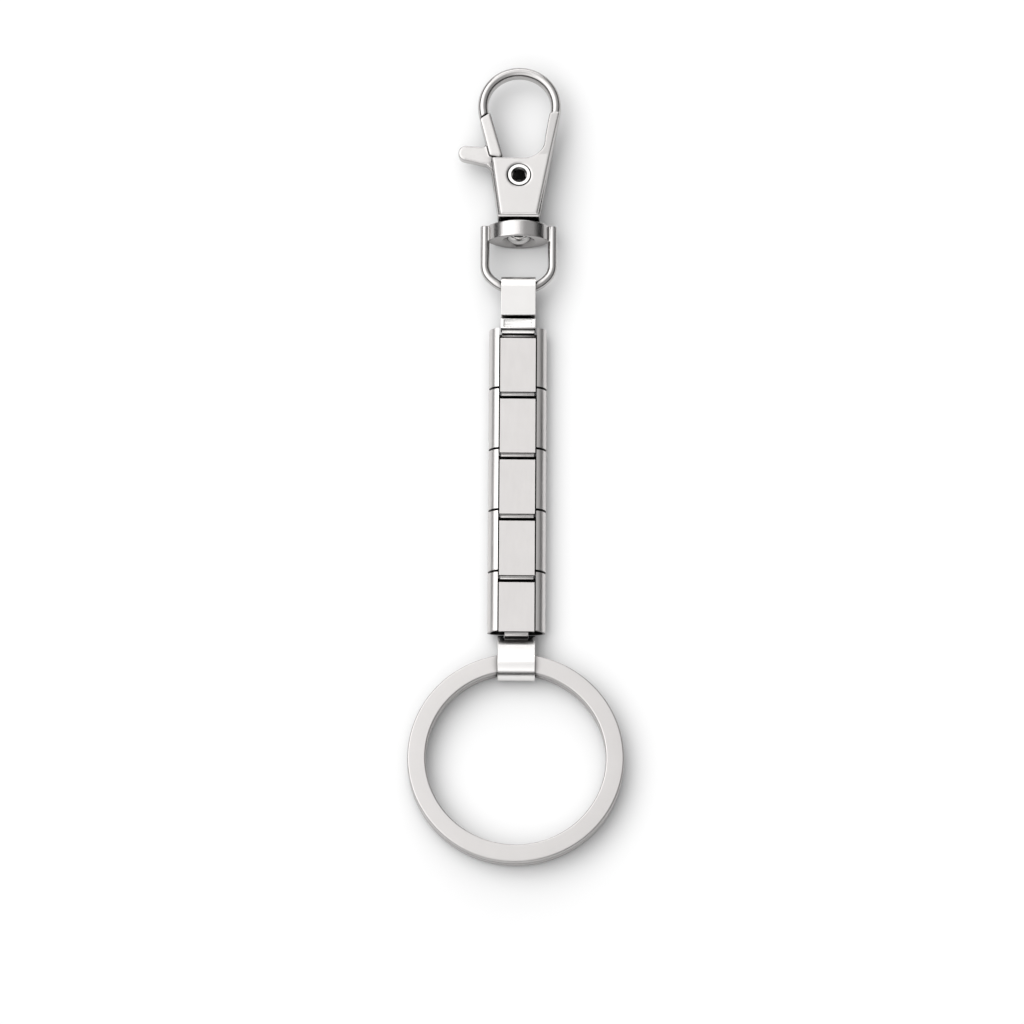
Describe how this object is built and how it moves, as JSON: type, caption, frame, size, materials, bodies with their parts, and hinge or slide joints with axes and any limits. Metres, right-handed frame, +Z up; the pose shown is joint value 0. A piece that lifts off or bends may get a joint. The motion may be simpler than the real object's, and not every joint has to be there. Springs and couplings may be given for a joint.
{
  "type": "key chain with split ring",
  "caption": "Flat split key ring on a chain of hinged modular links, with a swivel snap hook on a D-shackle at the other end.",
  "frame": {"origin": "under the middle of the laid-out chain, on the surface it lies on", "axes": "+Y along the chain from the split ring to the hook, +Z up off the back faces of the links, +X to the right"},
  "size_m": [0.032, 0.1248, 0.0062],
  "materials": {
    "nickel_plated_zinc": "soft polished",
    "satin_steel": "satin",
    "satin_ring_steel": "satin with bright rounded edges",
    "rail_steel": "polished with fine drawn lines",
    "bright_band_steel": "bright, finely brushed",
    "polished_steel": "polished",
    "spring_steel": "drawn"
  },
  "bodies": {
    "hook": {"hook_body": "nickel_plated_zinc", "gate_rivet": "polished_steel", "gate_spring": "spring_steel", "swivel_post": "polished_steel"},
    "gate": {"hook_gate": "nickel_plated_zinc"},
    "shackle": {"swivel_shackle": "nickel_plated_zinc"},
    "clasp": {"clasp_band": "bright_band_steel", "clasp_stop_bar": "bright_band_steel"},
    "link_1": {"link_1_shell": "rail_steel", "link_1_plate": "satin_steel", "link_1_pin": "spring_steel", "link_1_spring": "spring_steel"},
    "link_2": {"link_2_shell": "rail_steel", "link_2_plate": "satin_steel", "link_2_pin": "spring_steel", "link_2_spring": "spring_steel"},
    "link_3": {"link_3_shell": "rail_steel", "link_3_plate": "satin_steel", "link_3_pin": "spring_steel", "link_3_spring": "spring_steel"},
    "link_4": {"link_4_shell": "rail_steel", "link_4_plate": "satin_steel", "link_4_pin": "spring_steel", "link_4_spring": "spring_steel"},
    "link_5": {"link_5_shell": "rail_steel", "link_5_plate": "satin_steel", "link_5_pin": "spring_steel", "link_5_spring": "spring_steel"},
    "loop": {"ring_loop": "bright_band_steel", "ring_loop_pin": "spring_steel"},
    "ring": {"split_ring": "satin_ring_steel"}
  },
  "joints": [
    {"name": "link_3_to_2_bend", "type": "hinge", "parent": "link_3", "child": "link_2", "pos_m": [0, 0.00065, 0.0018], "axis": [-1, 0, 0], "range_deg": [-6, 25]},
    {"name": "link_2_to_1_bend", "type": "hinge", "parent": "link_2", "child": "link_1", "pos_m": [0, 0.01025, 0.0018], "axis": [-1, 0, 0], "range_deg": [-6, 25]},
    {"name": "clasp_bend", "type": "hinge", "parent": "link_1", "child": "clasp", "pos_m": [0, 0.01985, 0.0018], "axis": [-1, 0, 0], "range_deg": [-20, 30]},
    {"name": "shackle_swing", "type": "hinge", "parent": "clasp", "child": "shackle", "pos_m": [0, 0.02715, 0.0031], "axis": [-1, 0, 0], "range_deg": [-110, 110]},
    {"name": "hook_swivel", "type": "hinge", "parent": "shackle", "child": "hook", "pos_m": [0, 0.0358, 0.0031], "axis": [0, 1, 0], "continuous": true},
    {"name": "gate_open", "type": "hinge", "parent": "hook", "child": "gate", "pos_m": [0, 0.04445, 0.0031], "axis": [0, 0, -1], "range_deg": [0, 25], "stiffness_Nm_per_rad": 0.004, "springref_deg": -11.46},
    {"name": "link_3_to_4_bend", "type": "hinge", "parent": "link_3", "child": "link_4", "pos_m": [0, -0.00895, 0.0018], "axis": [1, 0, 0], "range_deg": [-6, 25]},
    {"name": "link_4_to_5_bend", "type": "hinge", "parent": "link_4", "child": "link_5", "pos_m": [0, -0.01855, 0.0018], "axis": [1, 0, 0], "range_deg": [-6, 25]},
    {"name": "loop_bend", "type": "hinge", "parent": "link_5", "child": "loop", "pos_m": [0, -0.02785, 0.0018], "axis": [1, 0, 0], "range_deg": [-15, 60]},
    {"name": "ring_swing", "type": "hinge", "parent": "loop", "child": "ring", "pos_m": [0, -0.03193, 0.00232], "axis": [1, 0, 0], "range_deg": [-150, 150]}
  ]
}
